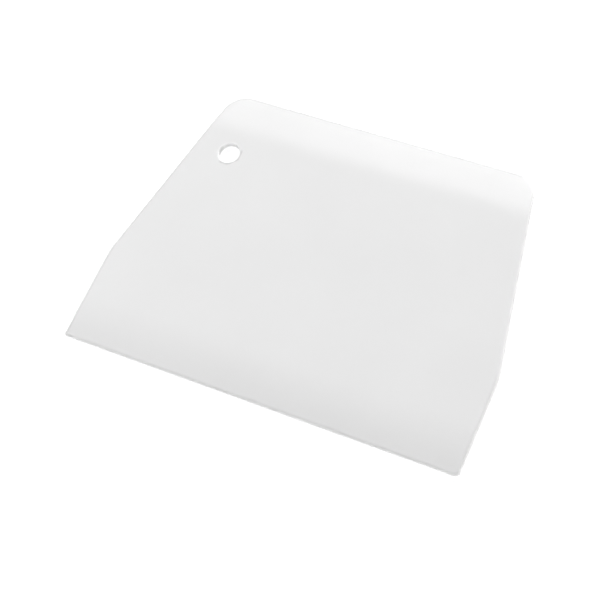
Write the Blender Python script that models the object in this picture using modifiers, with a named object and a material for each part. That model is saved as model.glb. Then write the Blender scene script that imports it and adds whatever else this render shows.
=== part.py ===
"""Dough scraper: one card moulded in white polypropylene.

The card lies flat, with its underside on z = 0 and its centre on the z axis.
The scraping edge runs along X at the -Y end, and the grip edge is at the +Y end.
"""

import math

import bmesh
import bpy
from mathutils import Vector

# Outline of the card, seen from above.
BLADE_WIDTH = 0.1200        # scraping edge, corner to corner
CARD_HEIGHT = 0.0880        # scraping edge to grip edge
SHOULDER_WIDTH = 0.1196     # width where the low sides end and the slanted sides begin
SHOULDER_HEIGHT = 0.0288    # length of the low sides, measured from the scraping edge
GRIP_WIDTH = 0.0947         # width at the grip edge, before its corners are rounded
BLADE_CORNER_RADIUS = 0.0014
SHOULDER_RADIUS = 0.0200
GRIP_CORNER_RADIUS = 0.0075

# Section of the card, from the scraping edge to the grip edge.
THICKNESS = 0.0020          # flat middle of the card
TAPER_LENGTH = 0.0140       # upper face, curving down to the scraping edge
TAPER_DROP = 0.0006
BEVEL_LENGTH = 0.0060       # underside, curving up to the scraping edge
BEVEL_RISE = 0.0004
SLOPE_LENGTH = 0.0140       # upper face, sloping evenly down to the grip edge
SLOPE_START = 0.0045        # curved start of that slope
SLOPE_DROP = 0.0006
ROLL_LENGTH = 0.0140        # upper face, rolling off over the slope as well
ROLL_DROP = 0.0002
EDGE_ROUND = 0.0009         # rounding along the whole outline, above and below

# Hanging hole near one grip corner.
HOLE_DIAMETER = 0.0060
HOLE_TO_GRIP_EDGE = 0.0198  # centre of the hole to the grip edge
HOLE_TO_SIDE = 0.0114       # centre of the hole to the slanted side, square to that side
RIM_ROUND = 0.0003          # rounding of both rims of the hole

WALL_SHARE = 0.45           # most of a wall that the rounding of one face may take

# How finely the round stretches are cut.
ARC_STEPS = 10              # along each corner arc and each fall of a face
ROUND_STEPS = 6             # across a rounded edge
HOLE_SIDES = 64

CUTTER_OVERRUN = 0.0010     # how far the hole's cutter runs past each face
WELD_DISTANCE = 0.00001
SMOOTH_BELOW = math.radians(30)
FLAT_BELOW = math.radians(0.5)

BLADE_Y = -CARD_HEIGHT / 2
GRIP_Y = CARD_HEIGHT / 2


def clear_scene():
    for old in list(bpy.data.objects):
        bpy.data.objects.remove(old)


def new_collection(name):
    collection = bpy.data.collections.new(name)
    bpy.context.scene.collection.children.link(collection)
    return collection


def polypropylene():
    """Natural white polypropylene, semi-matt from the mould."""
    white = (0.86, 0.86, 0.85, 1.0)
    material = bpy.data.materials.new("white_polypropylene")
    material.use_nodes = True
    material.diffuse_color = white
    shader = material.node_tree.nodes["Principled BSDF"]
    shader.inputs["Base Color"].default_value = white
    shader.inputs["Metallic"].default_value = 0.0
    shader.inputs["Roughness"].default_value = 0.38
    shader.inputs["IOR"].default_value = 1.49
    return material


def outline_corners():
    """The card's six corners and their radii, in order round the outline."""
    half_blade = BLADE_WIDTH / 2
    half_shoulder = SHOULDER_WIDTH / 2
    half_grip = GRIP_WIDTH / 2
    shoulder_y = BLADE_Y + SHOULDER_HEIGHT
    return [
        (Vector((-half_blade, BLADE_Y)), BLADE_CORNER_RADIUS),
        (Vector((half_blade, BLADE_Y)), BLADE_CORNER_RADIUS),
        (Vector((half_shoulder, shoulder_y)), SHOULDER_RADIUS),
        (Vector((half_grip, GRIP_Y)), GRIP_CORNER_RADIUS),
        (Vector((-half_grip, GRIP_Y)), GRIP_CORNER_RADIUS),
        (Vector((-half_shoulder, shoulder_y)), SHOULDER_RADIUS),
    ]


def add_knot(spline, used, place, arriving, leaving):
    """Set the next Bezier point: a handle of None belongs to a straight side."""
    if used:
        spline.bezier_points.add(1)
    point = spline.bezier_points[-1]
    point.handle_left_type = "FREE" if arriving else "VECTOR"
    point.handle_right_type = "FREE" if leaving else "VECTOR"
    point.co = place.to_3d()
    point.handle_left = (arriving or place).to_3d()
    point.handle_right = (leaving or place).to_3d()


def card_outline(collection):
    """The outline as a filled curve: straight sides joined by true arcs, as thick as the card."""
    data = bpy.data.curves.new("scraper_card", "CURVE")
    data.dimensions = "2D"
    data.fill_mode = "BOTH"
    data.extrude = THICKNESS / 2
    data.resolution_u = ARC_STEPS
    spline = data.splines.new("BEZIER")
    spline.use_cyclic_u = True
    corners = outline_corners()
    for index, (corner, radius) in enumerate(corners):
        to_last = (corners[index - 1][0] - corner).normalized()
        to_next = (corners[(index + 1) % len(corners)][0] - corner).normalized()
        inside = to_last.angle(to_next)
        reach = radius / math.tan(inside / 2)
        handle = radius * 4 / 3 * math.tan((math.pi - inside) / 4)
        start = corner + to_last * reach
        end = corner + to_next * reach
        add_knot(spline, index > 0, start, None, start - to_last * handle)
        add_knot(spline, True, end, end - to_next * handle, None)
    outline = bpy.data.objects.new("scraper_card", data)
    outline.location = (0.0, 0.0, THICKNESS / 2)
    collection.objects.link(outline)
    return outline


def as_mesh(body):
    """The body's evaluated shape as a new mesh, with its modifiers worked in."""
    bpy.context.view_layer.update()
    return bpy.data.meshes.new_from_object(body.evaluated_get(bpy.context.evaluated_depsgraph_get()))


def as_slab(outline, collection):
    """Turn the outline into a welded mesh object with one face above and one below."""
    mesh = as_mesh(outline)
    work = bmesh.new()
    work.from_mesh(mesh)
    bmesh.ops.remove_doubles(work, verts=work.verts, dist=WELD_DISTANCE)
    bmesh.ops.dissolve_limit(work, angle_limit=FLAT_BELOW, verts=work.verts, edges=work.edges)
    bmesh.ops.recalc_face_normals(work, faces=work.faces)
    work.to_mesh(mesh)
    work.free()
    slab = bpy.data.objects.new(outline.name, mesh)
    slab.matrix_world = outline.matrix_world
    bpy.data.objects.remove(outline)
    slab.name = "scraper_card"
    collection.objects.link(slab)
    return slab


def hole_centre():
    """Place of the hanging hole, from the grip edge and the slanted side beside it."""
    shoulder = Vector((-SHOULDER_WIDTH / 2, BLADE_Y + SHOULDER_HEIGHT))
    grip = Vector((-GRIP_WIDTH / 2, GRIP_Y))
    along = (grip - shoulder).normalized()
    y = GRIP_Y - HOLE_TO_GRIP_EDGE
    side_x = shoulder.x + along.x / along.y * (y - shoulder.y)
    return Vector((side_x + HOLE_TO_SIDE / along.y, y))


def hole_cutter(collection):
    centre = hole_centre()
    bpy.ops.mesh.primitive_cylinder_add(
        vertices=HOLE_SIDES,
        radius=HOLE_DIAMETER / 2,
        depth=THICKNESS + 2 * CUTTER_OVERRUN,
        location=(centre.x, centre.y, THICKNESS / 2),
    )
    cutter = bpy.context.object
    cutter.name = "hanging_hole"
    cutter.hide_render = True
    cutter.display_type = "WIRE"
    for home in list(cutter.users_collection):
        home.objects.unlink(cutter)
    collection.objects.link(cutter)
    return cutter


def round_edges(body, name, width, wall, sharper_than):
    """Round the edges that turn by more than an angle in degrees, within their wall."""
    modifier = body.modifiers.new(name, "BEVEL")
    modifier.width = min(width, wall * WALL_SHARE)
    modifier.segments = ROUND_STEPS
    modifier.limit_method = "ANGLE"
    modifier.angle_limit = math.radians(sharper_than)


def cut_hole(body, cutter):
    modifier = body.modifiers.new(cutter.name, "BOOLEAN")
    modifier.operation = "DIFFERENCE"
    modifier.solver = "EXACT"
    modifier.object = cutter


# Each fall of a face: the edge that it runs to, its length, the length of its curved start,
# and its depth at the edge. Falls to the same edge add up.
UPPER_FALLS = (
    (BLADE_Y, TAPER_LENGTH, TAPER_LENGTH, TAPER_DROP),
    (GRIP_Y, SLOPE_LENGTH, SLOPE_START, SLOPE_DROP),
    (GRIP_Y, ROLL_LENGTH, ROLL_LENGTH, ROLL_DROP),
)
LOWER_FALLS = ((BLADE_Y, BEVEL_LENGTH, BEVEL_LENGTH, BEVEL_RISE),)


def fallen(y, falls):
    """Depth at y of a face's falls: level, then a curved start, then straight down to the edge."""
    depth = 0.0
    for edge_y, length, curved, drop in falls:
        slope = drop / (length - curved / 2)
        along = max(0.0, length - abs(y - edge_y))
        if along < curved:
            depth += slope * along ** 2 / (2 * curved)
        else:
            depth += slope * (along - curved / 2)
    return depth


def press_section(body):
    """Work the modifiers in, then press the card between its upper and lower face.

    Lines are cut across the card where a face falls. Each point keeps its share of the
    thickness at its place, so a thin edge is as fully rounded as a thick one.
    """
    mesh = as_mesh(body)
    work = bmesh.new()
    work.from_mesh(mesh)
    for edge_y, length, _, _ in UPPER_FALLS + LOWER_FALLS:
        inward = math.copysign(length / ARC_STEPS, -edge_y)
        for step in range(1, ARC_STEPS + 1):
            bmesh.ops.bisect_plane(
                work,
                geom=work.verts[:] + work.edges[:] + work.faces[:],
                dist=WELD_DISTANCE,
                plane_co=(0.0, edge_y + step * inward, 0.0),
                plane_no=(0.0, 1.0, 0.0),
            )
    for point in work.verts:
        share = point.co.z / THICKNESS + 0.5
        from_above = share * fallen(point.co.y, UPPER_FALLS)
        from_below = (1 - share) * fallen(point.co.y, LOWER_FALLS)
        point.co.z += from_below - from_above
    work.to_mesh(mesh)
    work.free()
    body.modifiers.clear()
    body.data = mesh


clear_scene()
parts = new_collection("dough_scraper")
cutters = new_collection("cutters")

holder = bpy.data.objects.new("dough_scraper_origin", None)
parts.objects.link(holder)

card = as_slab(card_outline(parts), parts)
card.data.materials.append(polypropylene())
round_edges(card, "rounded_outline", EDGE_ROUND, THICKNESS, 40)
cut_hole(card, hole_cutter(cutters))
round_edges(card, "rounded_rims", RIM_ROUND, THICKNESS, 60)
press_section(card)
card.data.shade_smooth()
card.data.set_sharp_from_angle(angle=SMOOTH_BELOW)
card.parent = holder
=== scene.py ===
import math

import bmesh
import bpy
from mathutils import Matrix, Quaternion, Vector
from mathutils.kdtree import KDTree


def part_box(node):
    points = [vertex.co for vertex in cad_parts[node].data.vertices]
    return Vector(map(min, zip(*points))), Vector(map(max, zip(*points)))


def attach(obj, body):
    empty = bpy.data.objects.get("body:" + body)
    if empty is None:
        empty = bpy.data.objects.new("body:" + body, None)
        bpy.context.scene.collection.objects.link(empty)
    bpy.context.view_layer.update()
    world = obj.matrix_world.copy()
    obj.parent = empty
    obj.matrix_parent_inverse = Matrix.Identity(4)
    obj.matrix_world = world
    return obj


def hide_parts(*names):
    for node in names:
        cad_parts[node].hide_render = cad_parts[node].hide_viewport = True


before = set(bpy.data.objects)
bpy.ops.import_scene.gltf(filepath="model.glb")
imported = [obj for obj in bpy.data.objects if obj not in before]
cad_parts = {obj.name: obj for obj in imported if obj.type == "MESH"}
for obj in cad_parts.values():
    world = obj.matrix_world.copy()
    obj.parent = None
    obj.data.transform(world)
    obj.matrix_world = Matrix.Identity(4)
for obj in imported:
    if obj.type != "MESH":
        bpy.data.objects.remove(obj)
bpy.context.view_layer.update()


# The card. The whole dough scraper is one shot of white polypropylene, pressed between two mould
# halves: a flat 2 mm middle, an upper face that falls to the scraping edge in front and rolls off
# to the grip edge behind, and fully rounded edges. It hangs on the hole by its left grip corner.

low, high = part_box("scraper_card")
BLADE_Y = low.y
GRIP_Y = high.y
THICKNESS = high.z

BLADE_WIDTH = 0.1200
SHOULDER_WIDTH = 0.1196
SHOULDER_HEIGHT = 0.0288
GRIP_WIDTH = 0.0947
BLADE_CORNER_RADIUS = 0.0014
SHOULDER_RADIUS = 0.0200
GRIP_CORNER_RADIUS = 0.0075
ARC_STEPS = 24

EDGE_ROUND = 0.0009
RIM_ROUND = 0.0003
ROUND_STEPS = 10
FLAT_HEM = 0.0003           # level strip inside each rounding, which keeps the faces flat to light

# The line that the two mould halves leave round every wall: how far it stands out, half its width.
PARTING_PROUD = 0.00003
PARTING_HALF = 0.00005

HOLE_RADIUS = 0.0030
HOLE_TO_GRIP_EDGE = 0.0198
HOLE_TO_SIDE = 0.0114
HOLE_SIDES = 96

TAPER_LENGTH = 0.0140       # upper face, curving down to the scraping edge
TAPER_DROP = 0.0006
BEVEL_LENGTH = 0.0060       # underside, curving up to the scraping edge
BEVEL_RISE = 0.0004
SLOPE_LENGTH = 0.0140       # upper face, sloping evenly down to the grip edge
SLOPE_START = 0.0045        # curved start of that slope
SLOPE_DROP = 0.0006
ROLL_LENGTH = 0.0140        # upper face, rolling off over the slope as well
ROLL_DROP = 0.0002

# Each fall of a face: the edge it runs to, its length, the length of its curved start, its depth.
# Falls to the same edge add up.
UPPER_FALLS = (
    (BLADE_Y, TAPER_LENGTH, TAPER_LENGTH, TAPER_DROP),
    (GRIP_Y, SLOPE_LENGTH, SLOPE_START, SLOPE_DROP),
    (GRIP_Y, ROLL_LENGTH, ROLL_LENGTH, ROLL_DROP),
)
LOWER_FALLS = ((BLADE_Y, BEVEL_LENGTH, BEVEL_LENGTH, BEVEL_RISE),)
CELL = 0.0030               # the faces are cut into cells this wide, and closer where they fall
FALL_PITCH = 0.0005
ON_THE_CUT = 0.0000001      # a point this near to a cut is taken to lie on it


def outline(inset):
    """Points round the card, moved in from its outline: straight sides joined by true arcs."""
    corners = (
        (-BLADE_WIDTH / 2, BLADE_Y, BLADE_CORNER_RADIUS),
        (BLADE_WIDTH / 2, BLADE_Y, BLADE_CORNER_RADIUS),
        (SHOULDER_WIDTH / 2, BLADE_Y + SHOULDER_HEIGHT, SHOULDER_RADIUS),
        (GRIP_WIDTH / 2, GRIP_Y, GRIP_CORNER_RADIUS),
        (-GRIP_WIDTH / 2, GRIP_Y, GRIP_CORNER_RADIUS),
        (-SHOULDER_WIDTH / 2, BLADE_Y + SHOULDER_HEIGHT, SHOULDER_RADIUS),
    )
    points = []
    for index, (x, y, radius) in enumerate(corners):
        corner = Vector((x, y))
        to_last = (Vector(corners[index - 1][:2]) - corner).normalized()
        to_next = (Vector(corners[(index + 1) % len(corners)][:2]) - corner).normalized()
        inside = to_last.angle(to_next)
        centre = corner + (to_last + to_next).normalized() * (radius / math.sin(inside / 2))
        start = -math.pi / 2 + math.atan2(-to_last.y, -to_last.x)
        for step in range(ARC_STEPS + 1):
            turn = start + (math.pi - inside) * step / ARC_STEPS
            points.append(centre + Vector((math.cos(turn), math.sin(turn))) * (radius - inset))
    return points


def hole_centre():
    """Centre of the hanging hole, from the grip edge and the slanted side beside it."""
    shoulder = Vector((-SHOULDER_WIDTH / 2, BLADE_Y + SHOULDER_HEIGHT))
    along = (Vector((-GRIP_WIDTH / 2, GRIP_Y)) - shoulder).normalized()
    y = GRIP_Y - HOLE_TO_GRIP_EDGE
    side_x = shoulder.x + along.x / along.y * (y - shoulder.y)
    return Vector((side_x + HOLE_TO_SIDE / along.y, y))


def circle(inset):
    """Points round the hanging hole, moved into the material from its wall."""
    centre = hole_centre()
    turns = (2 * math.pi * side / HOLE_SIDES for side in range(HOLE_SIDES))
    return [centre + Vector((math.cos(a), math.sin(a))) * (HOLE_RADIUS + inset) for a in turns]


def rounded_wall(radius):
    """Inset and height of each ring of a wall, from the upper face round to the lower one."""
    upper = [(radius + FLAT_HEM, THICKNESS)]
    for step in range(ROUND_STEPS + 1):
        turn = math.pi / 2 * step / ROUND_STEPS
        inset = PARTING_PROUD + (radius - PARTING_PROUD) * (1 - math.sin(turn))
        upper.append((inset, THICKNESS - radius * (1 - math.cos(turn))))
    upper.append((PARTING_PROUD, THICKNESS / 2 + PARTING_HALF))
    upper.append((0.0, THICKNESS / 2 + PARTING_HALF / 2))
    return upper + [(inset, THICKNESS - z) for inset, z in reversed(upper)]


def fallen(y, falls):
    """Depth at y of a face's falls: level, then a curved start, then straight down to the edge."""
    depth = 0.0
    for edge_y, length, curved, drop in falls:
        slope = drop / (length - curved / 2)
        along = max(0.0, length - abs(y - edge_y))
        if along < curved:
            depth += slope * along ** 2 / (2 * curved)
        else:
            depth += slope * (along - curved / 2)
    return depth


def add_wall(work, shape, radius):
    """Skin the rings of a wall, and give back the edges of its first and last ring."""
    rings = []
    for inset, z in rounded_wall(radius):
        rings.append([work.verts.new((p.x, p.y, z)) for p in shape(inset)])
    for upper, lower in zip(rings, rings[1:]):
        for index in range(len(upper)):
            ahead = (index + 1) % len(upper)
            work.faces.new((upper[index], lower[index], lower[ahead], upper[ahead]))
    ends = []
    for ring in (rings[0], rings[-1]):
        ends.append([work.edges.get((a, b)) for a, b in zip(ring, ring[1:] + ring[:1])])
    return ends


def stations(start, end, pitch):
    """Places from start to end, about a pitch apart, without the two ends."""
    count = max(1, round((end - start) / pitch))
    return [start + (end - start) * step / count for step in range(1, count)]


def cut_across(work, places, axis):
    """Cut lines across the whole card at these places along an axis."""
    for place in places:
        bmesh.ops.bisect_plane(
            work,
            geom=work.verts[:] + work.edges[:] + work.faces[:],
            dist=ON_THE_CUT,
            plane_co=axis * place,
            plane_no=axis,
        )


# Back and to the left: painted shade, a thin grey line in the colour, runs just inside the walls
# that face this way, and painted light makes the colour whiter just inside those that face the
# other way.
SHADE_SIDE = Vector((-0.74, 0.67, 0.0))
RIM_PITCH = 0.0002          # spacing of the places on the walls that points are measured from


def mark_walls(mesh):
    """Store on each point, for the material, how far it is to the nearest place on a wall, in
    metres, and how squarely the way there points to the side with the painted shade line, from -1
    to 1.

    Inside the card that way is nearly square to the wall. On the wall itself it partly runs
    along it, so the strip of painted light is uneven there.
    """
    rim = [Vector((x, y, 0)) for x, y in circle(0.0)]
    corners = [Vector((x, y, 0)) for x, y in outline(0.0)]
    for start, end in zip(corners, corners[1:] + corners[:1]):
        steps = max(1, round((end - start).length / RIM_PITCH))
        rim.extend(start.lerp(end, step / steps) for step in range(steps))
    tree = KDTree(len(rim))
    for index, place in enumerate(rim):
        tree.insert(place, index)
    tree.balance()
    distance = mesh.attributes.new("wall_distance", "FLOAT", "POINT")
    facing = mesh.attributes.new("wall_facing", "FLOAT", "POINT")
    for index, point in enumerate(mesh.vertices):
        here = Vector((point.co.x, point.co.y, 0))
        place, _, gap = tree.find(here)
        distance.data[index].value = gap
        facing.data[index].value = (place - here).normalized().dot(SHADE_SIDE)


def card_mesh():
    """The card as one closed mesh: walls, filled faces, a grid of cuts, the pressed section."""
    work = bmesh.new()
    outer = add_wall(work, outline, EDGE_ROUND)
    inner = add_wall(work, circle, RIM_ROUND)
    for outer_ring, inner_ring in zip(outer, inner):
        ends = outer_ring + inner_ring
        bmesh.ops.triangle_fill(work, use_beauty=True, use_dissolve=True, edges=ends)
    bmesh.ops.recalc_face_normals(work, faces=work.faces)
    across, along = Vector((1, 0, 0)), Vector((0, 1, 0))
    cut_across(work, stations(-BLADE_WIDTH / 2, BLADE_WIDTH / 2, CELL), across)
    cut_across(work, stations(BLADE_Y, GRIP_Y, CELL), along)
    for edge_y, length, _, _ in UPPER_FALLS:
        end = edge_y + math.copysign(length, -edge_y)
        cut_across(work, stations(min(edge_y, end), max(edge_y, end), FALL_PITCH), along)
    for point in work.verts:
        share = point.co.z / THICKNESS
        upper = THICKNESS - fallen(point.co.y, UPPER_FALLS)
        point.co.z = share * upper + (1 - share) * fallen(point.co.y, LOWER_FALLS)
    mesh = bpy.data.meshes.new("scraper_card_moulding")
    work.to_mesh(mesh)
    work.free()
    mesh.shade_smooth()
    mark_walls(mesh)
    return mesh


def linear(code):
    """An sRGB hex value, such as F2F2F0, as the linear colour that a shader takes."""
    shares = [int(code[place:place + 2], 16) / 255 for place in (0, 2, 4)]
    return [s / 12.92 if s <= 0.04045 else ((s + 0.055) / 1.055) ** 2.4 for s in shares] + [1.0]


def new_material(name):
    """A new material and its node tree, which is emptied for other nodes."""
    material = bpy.data.materials.new(name)
    material.use_nodes = True
    material.node_tree.nodes.clear()
    return material, material.node_tree


def add_node(tree, kind, inputs=None, **settings):
    """Add a node with its settings. Each input is a plain value or the output that feeds it."""
    node = tree.nodes.new(kind)
    for name, value in settings.items():
        setattr(node, name, value)
    for name, value in (inputs or {}).items():
        if isinstance(value, bpy.types.NodeSocket):
            tree.links.new(value, node.inputs[name])
        else:
            node.inputs[name].default_value = value
    return node


# Polypropylene seen from a step away: the spark grain of the tool, and the flow of the melt.
GRAIN = 0.0006              # real grain is about 0.05 mm; drawn this coarse so that it shows at all
GRAIN_DEPTH = 0.00002
FLOW = 0.028                # width of the faint clouds that the flow leaves
CLOUD_DARK = "E9E9E9"
CLOUD_LIGHT = "EDEDED"
LIGHT_REACH = 0.0006        # how far light travels inside the plastic

# Painted shade: a grey line in the colour just inside the walls that face back and left.
PAINTED_SHADE_GREY = "D8D8D8"
SHADE_LINE_START = 0.0003         # the painted shade line, in from a wall: its start, deepest place and end
SHADE_LINE_DEEPEST = 0.0007
SHADE_LINE_END = 0.0014
SHADE_FACING_START = 0.2          # how squarely a wall faces the painted shade's side where the painted shade line first shows
SHADE_FACING_FULL = 0.5

# Painted light: a whiter strip in the colour just inside the walls that face front and right.
PAINTED_LIGHT_WHITE = "FBFBFB"
PAINTED_LIGHT_WIDTH = 0.0010         # the strip of painted light fades out this far in from a wall
PAINTED_LIGHT_START = -0.3           # how squarely a wall faces the painted shade's side where the strip of painted light first shows
PAINTED_LIGHT_FULL = -0.6

FIRST_COLOR, SECOND_COLOR, MIXED_COLOR = 6, 7, 2    # places of a Mix node's colours, in and out


def moulded_polypropylene():
    """White polypropylene, injection moulded in a finely sparked tool: semi-matt, with a soft
    sheen, faintly cloudy where the melt flowed, with painted shade in a thin grey line just inside
    the edges that face back and left, and painted light in a whiter strip inside the others."""
    material, tree = new_material("moulded_white_polypropylene")
    place = add_node(tree, "ShaderNodeTexCoord").outputs["Object"]
    inward = add_node(tree, "ShaderNodeAttribute", attribute_name="wall_distance").outputs["Fac"]
    facing = add_node(tree, "ShaderNodeAttribute", attribute_name="wall_facing").outputs["Fac"]
    # Painted shade: the grey line, only in from walls that face back and left.
    shade_shown = add_node(tree, "ShaderNodeMapRange", {
        "Value": facing, "From Min": SHADE_FACING_START, "From Max": SHADE_FACING_FULL,
    }, interpolation_type="SMOOTHSTEP")
    shade_rise = add_node(tree, "ShaderNodeMapRange", {
        "Value": inward,
        "From Min": SHADE_LINE_START,
        "From Max": SHADE_LINE_DEEPEST,
        "To Max": shade_shown.outputs["Result"],
    }, interpolation_type="SMOOTHSTEP")
    shade_fade = add_node(tree, "ShaderNodeMapRange", {
        "Value": inward,
        "From Min": SHADE_LINE_DEEPEST,
        "From Max": SHADE_LINE_END,
        "To Min": 1.0,
        "To Max": 0.0,
    }, interpolation_type="SMOOTHSTEP")
    line = add_node(tree, "ShaderNodeMath", {
        0: shade_rise.outputs["Result"], 1: shade_fade.outputs["Result"],
    }, operation="MULTIPLY")
    flow = add_node(tree, "ShaderNodeTexNoise", {
        "Vector": place, "Scale": 1 / FLOW, "Detail": 1.0,
    })
    body = add_node(tree, "ShaderNodeMix", {
        "Factor": flow.outputs["Fac"],
        FIRST_COLOR: linear(CLOUD_DARK),
        SECOND_COLOR: linear(CLOUD_LIGHT),
    }, data_type="RGBA")
    # Painted light: the whiter strip, only in from walls that face front and right.
    light_facing_share = add_node(tree, "ShaderNodeMapRange", {
        "Value": facing, "From Min": PAINTED_LIGHT_START, "From Max": PAINTED_LIGHT_FULL,
    }, interpolation_type="SMOOTHSTEP")
    pale = add_node(tree, "ShaderNodeMapRange", {
        "Value": inward, "From Min": PAINTED_LIGHT_WIDTH, "From Max": 0.0, "To Max": light_facing_share.outputs["Result"],
    }, interpolation_type="SMOOTHSTEP")
    with_painted_light = add_node(tree, "ShaderNodeMix", {
        "Factor": pale.outputs["Result"],
        FIRST_COLOR: body.outputs[MIXED_COLOR],
        SECOND_COLOR: linear(PAINTED_LIGHT_WHITE),
    }, data_type="RGBA")
    # The painted shade line, laid over the painted light and the cloudy body colour.
    white = add_node(tree, "ShaderNodeMix", {
        "Factor": line.outputs["Value"],
        FIRST_COLOR: with_painted_light.outputs[MIXED_COLOR],
        SECOND_COLOR: linear(PAINTED_SHADE_GREY),
    }, data_type="RGBA")
    grain = add_node(tree, "ShaderNodeTexNoise", {
        "Vector": place, "Scale": 1 / GRAIN, "Detail": 2.0,
    })
    bump = add_node(tree, "ShaderNodeBump", {
        "Height": grain.outputs["Fac"], "Strength": 0.15, "Distance": GRAIN_DEPTH,
    })
    surface = add_node(tree, "ShaderNodeBsdfPrincipled", {
        "Base Color": white.outputs[MIXED_COLOR],
        "Roughness": 0.38,
        "IOR": 1.49,
        "Subsurface Weight": 1.0,
        "Subsurface Radius": (1.0, 1.0, 1.0),
        "Subsurface Scale": LIGHT_REACH,
        "Normal": bump.outputs["Normal"],
    })
    add_node(tree, "ShaderNodeOutputMaterial", {"Surface": surface.outputs["BSDF"]})
    return material


card = bpy.data.objects.new("card_moulding", card_mesh())
card.data.materials.append(moulded_polypropylene())
bpy.context.scene.collection.objects.link(card)
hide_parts("scraper_card")
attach(card, "root")


# The light table that the card lies on: a sheet of opal acrylic, lit from below, so it is plain
# white and nothing on it throws a shadow that shows.

TABLE_SIZE = 6.0
TABLE_GAP = 0.0001          # down from the card, so that their faces don't share a plane


def opal_acrylic():
    """Opal acrylic, lit from below: mostly its own light, and a little of what falls on it."""
    material, tree = new_material("opal_acrylic_light_table")
    surface = add_node(tree, "ShaderNodeBsdfPrincipled", {
        "Base Color": linear("959595"),
        "Roughness": 0.6,
        "IOR": 1.49,
        "Emission Color": linear("FFFFFF"),
        "Emission Strength": 0.85,
    })
    add_node(tree, "ShaderNodeOutputMaterial", {"Surface": surface.outputs["BSDF"]})
    return material


def table_mesh():
    """A flat square sheet, centred under the card."""
    work = bmesh.new()
    bmesh.ops.create_grid(work, x_segments=4, y_segments=4, size=TABLE_SIZE / 2)
    mesh = bpy.data.meshes.new("light_table")
    work.to_mesh(mesh)
    work.free()
    return mesh


table = bpy.data.objects.new("light_table", table_mesh())
table.location.z = -TABLE_GAP
table.data.materials.append(opal_acrylic())
bpy.context.scene.collection.objects.link(table)


# The studio: two large soft boxes low behind the card, which rake over its two falling edges, and
# weaker ones round it, in a room with white walls and a dark ceiling. The low boxes give no glare,
# so that the card stays grey against the table when it is seen aslant from any side.

def soft_box(name, azimuth, elevation, distance, size, power, glare=True):
    """A square soft light that faces the card. Azimuth runs from +Y towards +X, in degrees."""
    light = bpy.data.lights.new(name, "AREA")
    light.shape = "SQUARE"
    light.size = size
    light.energy = power
    turn, lift = math.radians(azimuth), math.radians(elevation)
    back = Vector((
        math.sin(turn) * math.cos(lift),
        math.cos(turn) * math.cos(lift),
        math.sin(lift),
    ))
    lamp = bpy.data.objects.new(name, light)
    lamp.location = back * distance
    lamp.rotation_euler = back.to_track_quat("Z", "Y").to_euler()
    lamp.visible_camera = False
    lamp.visible_glossy = glare
    bpy.context.scene.collection.objects.link(lamp)


soft_box("rear_left_box", azimuth=-28, elevation=14, distance=6.0, size=2.0, power=235, glare=False)
soft_box("rear_box", azimuth=-5, elevation=20, distance=6.0, size=2.8, power=462, glare=False)
soft_box("front_box", azimuth=150, elevation=3, distance=3.0, size=0.25, power=48, glare=False)
soft_box("left_box", azimuth=-90, elevation=40, distance=1.5, size=0.7, power=7.1)
soft_box("sheen_box", azimuth=-17, elevation=43, distance=3.0, size=0.6, power=20)

WALL_LIGHT = 1.0
WALL_TOP = 0.5              # height where the walls' light ends, as the sine of its elevation
WALLS_SEEN = 1.0            # the walls' white where the camera sees them straight

world = bpy.data.worlds.new("pale_room")
world.use_nodes = True
world.node_tree.nodes.clear()
outward = add_node(world.node_tree, "ShaderNodeTexCoord").outputs["Generated"]
height = add_node(world.node_tree, "ShaderNodeSeparateXYZ", {"Vector": outward}).outputs["Z"]
given = add_node(world.node_tree, "ShaderNodeMapRange", {
    "Value": height, "From Max": WALL_TOP, "To Min": WALL_LIGHT, "To Max": 0.0,
})
seen = add_node(world.node_tree, "ShaderNodeLightPath").outputs["Is Camera Ray"]
strength = add_node(world.node_tree, "ShaderNodeMapRange", {
    "Value": seen, "To Min": given.outputs["Result"], "To Max": WALLS_SEEN,
})
walls = add_node(world.node_tree, "ShaderNodeBackground", {
    "Color": linear("FFFFFF"), "Strength": strength.outputs["Result"],
})
add_node(world.node_tree, "ShaderNodeOutputWorld", {"Surface": walls.outputs["Background"]})
bpy.context.scene.world = world
bpy.context.scene.view_settings.view_transform = "Standard"


# The camera: a long lens over the right end of the scraping edge, turned a little about its own
# axis, so that the card lies aslant in a square picture.

AIM = Vector((-0.00062, -0.01133, 0.0))     # the place in the middle of the picture
DISTANCE = 0.4352
AZIMUTH = math.radians(47.64)               # from the front, towards the right end
ELEVATION = math.radians(61.12)
ROLL = math.radians(-25.51)
LENS = 95.26
SENSOR = 36.0

camera = bpy.data.objects.new("camera", bpy.data.cameras.new("camera"))
camera.data.lens = LENS
camera.data.sensor_width = SENSOR
level = Vector((math.sin(AZIMUTH), -math.cos(AZIMUTH), 0.0))
back = level * math.cos(ELEVATION) + Vector((0, 0, 1)) * math.sin(ELEVATION)
camera.location = AIM + back * DISTANCE
camera.rotation_mode = "QUATERNION"
camera.rotation_quaternion = back.to_track_quat("Z", "Y") @ Quaternion((0, 0, 1), ROLL)
camera.data.clip_start = 0.01
bpy.context.scene.collection.objects.link(camera)
bpy.context.scene.camera = camera
